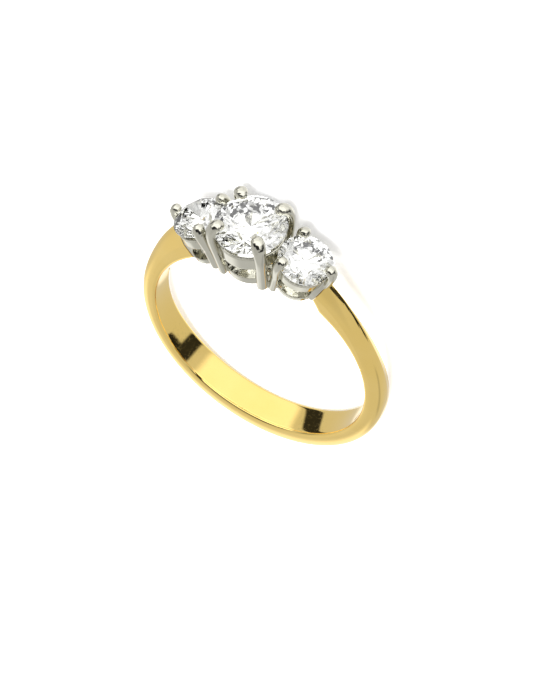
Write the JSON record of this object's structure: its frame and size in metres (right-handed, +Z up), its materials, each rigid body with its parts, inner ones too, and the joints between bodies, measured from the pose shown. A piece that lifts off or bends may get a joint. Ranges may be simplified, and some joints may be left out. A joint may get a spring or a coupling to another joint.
{
  "type": "three stone ring",
  "caption": "Finger ring with a domed tapering gold band and a white metal claw head holding a row of round brilliant stones, the middle one larger.",
  "frame": {"origin": "on the surface that the ring lies on, under the middle of its bounding box", "axes": "+Z up from the surface, close to the finger axis; -Y towards the stones, +Y towards the foot of the band; +X towards left_stone"},
  "size_m": [0.0198, 0.0242, 0.0052],
  "materials": {
    "yellow_gold": "mirror polished",
    "white_gold": "mirror polished",
    "diamond": "faceted and polished"
  },
  "bodies": {
    "root": {"shank": "yellow_gold", "claw_setting": "white_gold", "centre_stone": "diamond", "left_stone": "diamond", "right_stone": "diamond"}
  },
  "joints": []
}
